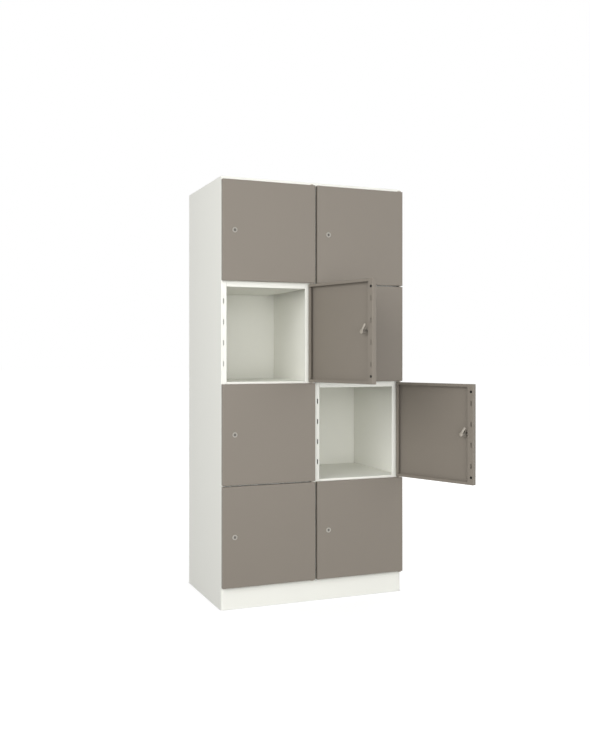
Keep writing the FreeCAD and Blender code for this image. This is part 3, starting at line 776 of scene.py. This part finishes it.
def along_lines(name, lines, shape, spacing, turn, material):
    """Plain mesh of one shape repeated along straight lines, each a pair of points."""
    tree = shared("pieces_along_lines", line_tree)
    carrier_mesh = bpy.data.meshes.new("carrier")
    points = [point for line in lines for point in line]
    carrier_mesh.from_pydata(points, [(2 * i, 2 * i + 1) for i in range(len(lines))], [])
    carrier = bpy.data.objects.new("carrier", carrier_mesh)
    model_mesh = bpy.data.meshes.new("model")
    shape.to_mesh(model_mesh)
    shape.free()
    model = bpy.data.objects.new("model", model_mesh)
    for helper in (carrier, model):
        bpy.context.scene.collection.objects.link(helper)
    modifier = carrier.modifiers.new("rows", "NODES")
    modifier.node_group = tree
    values = {"Shape": model, "Spacing": spacing, "Turn": turn, "Finish": material}
    for socket in tree.interface.items_tree:
        if socket.in_out == "INPUT" and socket.name in values:
            modifier[socket.identifier] = values[socket.name]
    carrier.update_tag()
    depsgraph = bpy.context.evaluated_depsgraph_get()
    mesh = bpy.data.meshes.new_from_object(carrier.evaluated_get(depsgraph))
    mesh.name = name
    carrier.modifiers.clear()
    for helper, data in ((carrier, carrier_mesh), (model, model_mesh)):
        bpy.data.objects.remove(helper)
        bpy.data.meshes.remove(data)
    return mesh


def buffer_shape():
    """Domed rubber head with a stem and a bead, drawn round the Y axis from the inside of the door."""
    rim = 0.25 * BUFFER_CROWN
    stem = 0.58 * BUFFER_RADIUS
    bead = 0.75 * BUFFER_RADIUS
    neck_end = -1.1 * MM
    bead_top = -1.2 * MM
    tail_end = -2.7 * MM
    section = [(0, BUFFER_CROWN)]
    for i in range(1, CORNER_STEPS + 1):
        angle = math.pi / 2 * i / CORNER_STEPS
        section.append((BUFFER_RADIUS * math.sin(angle), rim + (BUFFER_CROWN - rim) * math.cos(angle)))
    section += [(BUFFER_RADIUS, 0), (stem, 0), (stem, neck_end), (bead, bead_top), (stem, tail_end)]
    section.append((0, tail_end))
    return turned(section, BUFFER_STEPS)


def weld_shape(sizes):
    """Mark of one spot weld: a low rim round a shallow dish, drawn round the Y axis."""
    section = [(out * sizes.weld_radius, rise * sizes.weld_height) for out, rise in WELD_PROFILE]
    return turned(section, WELD_STEPS)


def weld_lines():
    """Lines of spot welds on the rear of the back: along each shelf's flange and the partition's flange."""
    inset = 30 * MM
    flange = 9 * MM
    sheet = 1 * MM
    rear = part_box("back_panel")[0].y + sheet
    lines = []
    for node in SHELF_NODES:
        low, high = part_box(node)
        z = high.z - flange
        lines.append(((low.x + inset, rear, z), (high.x - inset, rear, z)))
    low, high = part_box("centre_partition")
    middle = (low.x + high.x) / 2
    lines.append(((middle, rear, low.z + inset), (middle, rear, high.z - inset)))
    return lines


class LOCKER_OT_paint_carcass(bpy.types.Operator):
    """Coat the panels, posts, shelves and plinth in white powder coat, with painted shade inside the two post
    hollows.
    """

    bl_idname = "locker.paint_carcass"
    bl_label = "Paint Carcass"

    def execute(self, context):
        finish = context.scene.locker_finish
        white = material_of("white_powder_coat", white_coat, finish)
        coat([node for node in CARCASS_NODES if node not in HINGE_NODES], white)
        # Each post's hollow gets painted shade in place of the white: lighter in the left post, near black in the
        # centre post.
        hollow_shades = (finish.left_hollow_painted_shade, finish.centre_hollow_painted_shade)
        for node, hollow, inside in zip(POST_NODES, post_hollows(), hollow_shades):
            paint = powder_coat(f"{node}_powder_coat", finish.body_paint, finish.body_clouds, finish)
            coat([node], recoloured_inside(paint, hollow, inside))
        return {"FINISHED"}


class LOCKER_OT_paint_doors(bpy.types.Operator):
    """Coat the door leaves in taupe powder coat."""

    bl_idname = "locker.paint_doors"
    bl_label = "Paint Doors"

    def execute(self, context):
        taupe = material_of("taupe_powder_coat", taupe_coat, context.scene.locker_finish)
        coat([f"door_{door}" for door in DOORS], taupe)
        return {"FINISHED"}


class LOCKER_OT_plate_hinges(bpy.types.Operator):
    """Plate the hinge brackets and pins in zinc."""

    bl_idname = "locker.plate_hinges"
    bl_label = "Plate Hinges"

    def execute(self, context):
        coat(HINGE_NODES, material_of("plated_zinc", plated_zinc, context.scene.locker_finish))
        return {"FINISHED"}


class LOCKER_OT_fit_lock_housings(bpy.types.Operator):
    """Fit each door with its lock's face ring, threaded barrel and nut."""

    bl_idname = "locker.fit_lock_housings"
    bl_label = "Fit Lock Housings"

    def execute(self, context):
        sizes = context.scene.locker_hardware
        finish = context.scene.locker_finish
        nickel = material_of("satin_nickel", satin_nickel, finish)
        # The barrels and nuts take darker zinc as painted shade.
        barrel_zinc = shaded_zinc("barrel_zinc", finish.barrel_zinc)
        nut_zinc = shaded_zinc("nut_zinc", finish.nut_zinc)
        for door in DOORS:
            name = f"lock_face_{door}"
            parts = [lock_ring(sizes), threaded_barrel(sizes), lock_nut(sizes)]
            for number, part in enumerate(parts):
                for face in part.faces:
                    face.material_index = number
            mesh = joined_mesh(name, parts, lock_place(door))
            finish_piece(name, mesh, [nickel, barrel_zinc, nut_zinc], f"leaf_{door}",
                         f"lock_housing_{door}")
        return {"FINISHED"}


class LOCKER_OT_fit_lock_plugs(bpy.types.Operator):
    """Fit each lock with the plug that the key turns."""

    bl_idname = "locker.fit_lock_plugs"
    bl_label = "Fit Lock Plugs"

    def execute(self, context):
        sizes = context.scene.locker_hardware
        finish = context.scene.locker_finish
        worn = material_of("worn_nickel", worn_nickel, finish)
        # The faces inside each keyway take the painted shade.
        shade = material_of("keyway_shade", keyway_shade, finish)
        for door in DOORS:
            name = f"lock_key_plug_{door}"
            mesh = joined_mesh(name, [keyed_plug(sizes)], core_place(door))
            finish_piece(name, mesh, [worn, shade], f"core_{door}", f"lock_plug_{door}")
        return {"FINISHED"}


class LOCKER_OT_fit_lock_cams(bpy.types.Operator):
    """Fit each lock with its stamped cam and the screw that holds it."""

    bl_idname = "locker.fit_lock_cams"
    bl_label = "Fit Lock Cams"

    def execute(self, context):
        sizes = context.scene.locker_hardware
        zinc = material_of("plated_zinc", plated_zinc, context.scene.locker_finish)
        for door in DOORS:
            name = f"lock_stamped_cam_{door}"
            mesh = joined_mesh(name, [stamped_cam(sizes), *cam_screw(sizes)], core_place(door))
            finish_piece(name, mesh, [zinc], f"core_{door}", f"lock_cam_{door}")
        return {"FINISHED"}


class LOCKER_OT_fit_buffers(bpy.types.Operator):
    """Press two rubber buffers into the slotted flange of each door."""

    bl_idname = "locker.fit_buffers"
    bl_label = "Fit Buffers"

    def execute(self, context):
        rubber = material_of("moulded_rubber", moulded_rubber, context.scene.locker_finish)
        across = (BUFFER_LOW.x + BUFFER_HIGH.x) / 2 - LOCK_CENTRE[0]
        reach = (BUFFER_HIGH.z - BUFFER_LOW.z) / 2 - BUFFER_RADIUS
        for door in DOORS:
            name = f"door_stops_{door}"
            place = lock_place(door)
            ends = [place @ Vector((across, DOOR_INSIDE, side * reach)) for side in (-1, 1)]
            turn = (0, 0, rest_angle(f"door_swing_{door}"))
            mesh = along_lines(name, [ends], buffer_shape(), 2 * reach, turn, rubber)
            finish_piece(name, mesh, [rubber], f"leaf_{door}", f"door_buffers_{door}")
        return {"FINISHED"}


class LOCKER_OT_mark_welds(bpy.types.Operator):
    """Mark the spot welds that hold the shelves and the partition to the back."""

    bl_idname = "locker.mark_welds"
    bl_label = "Mark Welds"

    def execute(self, context):
        sizes = context.scene.locker_hardware
        white = material_of("white_powder_coat", white_coat, context.scene.locker_finish)
        name = "weld_marks"
        unturned = (0, 0, 0)
        mesh = along_lines(name, weld_lines(), weld_shape(sizes), sizes.weld_spacing, unturned, white)
        finish_piece(name, mesh, [white], "carcass")
        return {"FINISHED"}


def background_rays(tree):
    """Mask of the rays that show the background: seen straight, in a reflection or through glass."""
    path = add_node(tree, "ShaderNodeLightPath")
    seen = add_node(tree, "ShaderNodeMath", operation="ADD", use_clamp=True)
    tree.links.new(path.outputs["Is Camera Ray"], seen.inputs[0])
    tree.links.new(path.outputs["Is Glossy Ray"], seen.inputs[1])
    either = add_node(tree, "ShaderNodeMath", operation="ADD", use_clamp=True)
    tree.links.new(seen.outputs[0], either.inputs[0])
    tree.links.new(path.outputs["Is Transmission Ray"], either.inputs[1])
    return either.outputs[0]


def studio_world(studio):
    """White all round where it is seen, and a softer even light where it only lights."""
    world = bpy.data.worlds.new("studio")
    world.use_nodes = True
    tree = world.node_tree
    tree.nodes.clear()
    light = add_node(tree, "ShaderNodeBackground", {"Color": WHITE, "Strength": studio.ambient})
    white = add_node(tree, "ShaderNodeBackground", {"Color": WHITE, "Strength": 1.0})
    mix = add_node(tree, "ShaderNodeMixShader")
    output = add_node(tree, "ShaderNodeOutputWorld")
    tree.links.new(background_rays(tree), mix.inputs["Fac"])
    tree.links.new(light.outputs[0], mix.inputs[1])
    tree.links.new(white.outputs[0], mix.inputs[2])
    tree.links.new(mix.outputs[0], output.inputs["Surface"])
    return world


def floor_material(studio):
    """Matt floor with a white glow of its own where it is seen; the glow is weaker near the cabinet, a broad
    painted shade round it, and ambient occlusion darkens it at the foot, a painted contact shadow.
    """
    material = bpy.data.materials.new("studio_floor")
    material.use_nodes = True
    tree = material.node_tree
    tree.nodes.clear()
    matt = add_node(tree, "ShaderNodeBsdfDiffuse", {"Color": (*studio.floor_colour, 1)})
    where = add_node(tree, "ShaderNodeTexCoord").outputs["Object"]
    shrink = add_node(tree, "ShaderNodeMapping", {"Scale": [1 / studio.floor_shade_reach] * 3})
    near = add_node(tree, "ShaderNodeTexGradient", gradient_type="SPHERICAL")
    lift = add_node(tree, "ShaderNodeMath", {1: -studio.floor_shade, 2: studio.floor_lift},
                    operation="MULTIPLY_ADD")
    # Painted contact shadow: the glow is multiplied by ambient occlusion near the cabinet's foot.
    contact_shade = add_node(tree, "ShaderNodeAmbientOcclusion", {"Distance": studio.contact_shade_reach})
    shaded_glow = add_node(tree, "ShaderNodeMath", operation="MULTIPLY")
    strength = add_node(tree, "ShaderNodeMath", operation="MULTIPLY")
    glow = add_node(tree, "ShaderNodeEmission", {"Color": WHITE})
    total = add_node(tree, "ShaderNodeAddShader")
    output = add_node(tree, "ShaderNodeOutputMaterial")
    tree.links.new(where, shrink.inputs["Vector"])
    tree.links.new(shrink.outputs["Vector"], near.inputs["Vector"])
    tree.links.new(near.outputs["Fac"], lift.inputs[0])
    tree.links.new(lift.outputs[0], shaded_glow.inputs[0])
    tree.links.new(contact_shade.outputs["AO"], shaded_glow.inputs[1])
    tree.links.new(background_rays(tree), strength.inputs[0])
    tree.links.new(shaded_glow.outputs[0], strength.inputs[1])
    tree.links.new(strength.outputs[0], glow.inputs["Strength"])
    tree.links.new(matt.outputs[0], total.inputs[0])
    tree.links.new(glow.outputs[0], total.inputs[1])
    tree.links.new(total.outputs[0], output.inputs["Surface"])
    return material


class LOCKER_OT_build_stage(bpy.types.Operator):
    """Set up the floor, the light and the camera."""

    bl_idname = "locker.build_stage"
    bl_label = "Build Stage"

    def execute(self, context):
        scene = context.scene
        studio = scene.locker_studio
        scene.view_settings.view_transform = "Standard"
        scene.world = studio_world(studio)
        self.lay_floor(scene, studio)
        for side in LAMPS:
            self.hang_lamp(scene, studio, side)
        self.place_camera(scene, studio)
        return {"FINISHED"}

    def lay_floor(self, scene, studio):
        """Lay one wide sheet at the height of the cabinet's foot."""
        far = FLOOR_REACH
        mesh = bpy.data.meshes.new("floor")
        corners = [(-far, -far, 0), (far, -far, 0), (far, far, 0), (-far, far, 0)]
        mesh.from_pydata(corners, [], [(0, 1, 2, 3)])
        mesh.materials.append(floor_material(studio))
        floor = bpy.data.objects.new("floor", mesh)
        scene.collection.objects.link(floor)

    def hang_lamp(self, scene, studio, side):
        """Hang a square lamp that faces the cabinet and doesn't show in its metal."""
        name = f"{side}_lamp"
        light = bpy.data.lights.new(name, "AREA")
        light.shape = "SQUARE"
        light.size = studio.lamp_size
        light.energy = getattr(studio, f"{side}_power")
        lamp = bpy.data.objects.new(name, light)
        lamp.location = getattr(studio, f"{side}_place")
        middle = (CAD_BOX[0] + CAD_BOX[1]) / 2
        lamp.rotation_euler = (middle - lamp.location).to_track_quat("-Z", "Y").to_euler()
        lamp.visible_glossy = False
        scene.collection.objects.link(lamp)

    def place_camera(self, scene, studio):
        """Stand the camera level, turned to the right."""
        lens = bpy.data.cameras.new("camera")
        lens.lens = studio.camera_lens
        lens.shift_y = studio.camera_shift
        camera = bpy.data.objects.new("camera", lens)
        camera.location = studio.camera_place
        camera.rotation_euler = (math.pi / 2, 0, -studio.camera_yaw)
        scene.collection.objects.link(camera)
        scene.camera = camera


SETTINGS = {"locker_finish": LockerFinish, "locker_hardware": LockerHardware, "locker_studio": LockerStudio}
STEPS = (
    LOCKER_OT_paint_carcass,
    LOCKER_OT_paint_doors,
    LOCKER_OT_plate_hinges,
    LOCKER_OT_fit_lock_housings,
    LOCKER_OT_fit_lock_plugs,
    LOCKER_OT_fit_lock_cams,
    LOCKER_OT_fit_buffers,
    LOCKER_OT_mark_welds,
    LOCKER_OT_build_stage,
)


class LOCKER_PT_steps(bpy.types.Panel):
    """List the locker's settings and the steps that dress it."""

    bl_idname = "LOCKER_PT_steps"
    bl_label = "Locker"
    bl_space_type = "VIEW_3D"
    bl_region_type = "UI"
    bl_category = "Locker"

    def draw(self, context):
        for name, group in SETTINGS.items():
            box = self.layout.box()
            for setting in group.__annotations__:
                box.prop(getattr(context.scene, name), setting)
        for step in STEPS:
            self.layout.operator(step.bl_idname)


CLASSES = (*SETTINGS.values(), *STEPS, LOCKER_PT_steps)


def register():
    """Make the settings, the steps and the panel known to Blender."""
    for item in CLASSES:
        bpy.utils.register_class(item)
    for name, group in SETTINGS.items():
        setattr(bpy.types.Scene, name, PointerProperty(type=group))


def unregister():
    """Take away what register made known, in the opposite order."""
    for name in SETTINGS:
        delattr(bpy.types.Scene, name)
    for item in reversed(CLASSES):
        bpy.utils.unregister_class(item)


def main():
    """Dress the frame step by step."""
    register()
    bpy.ops.locker.paint_carcass()
    bpy.ops.locker.paint_doors()
    bpy.ops.locker.plate_hinges()
    bpy.ops.locker.fit_lock_housings()
    bpy.ops.locker.fit_lock_plugs()
    bpy.ops.locker.fit_lock_cams()
    bpy.ops.locker.fit_buffers()
    bpy.ops.locker.mark_welds()
    bpy.ops.locker.build_stage()


if __name__ == "__main__":
    main()
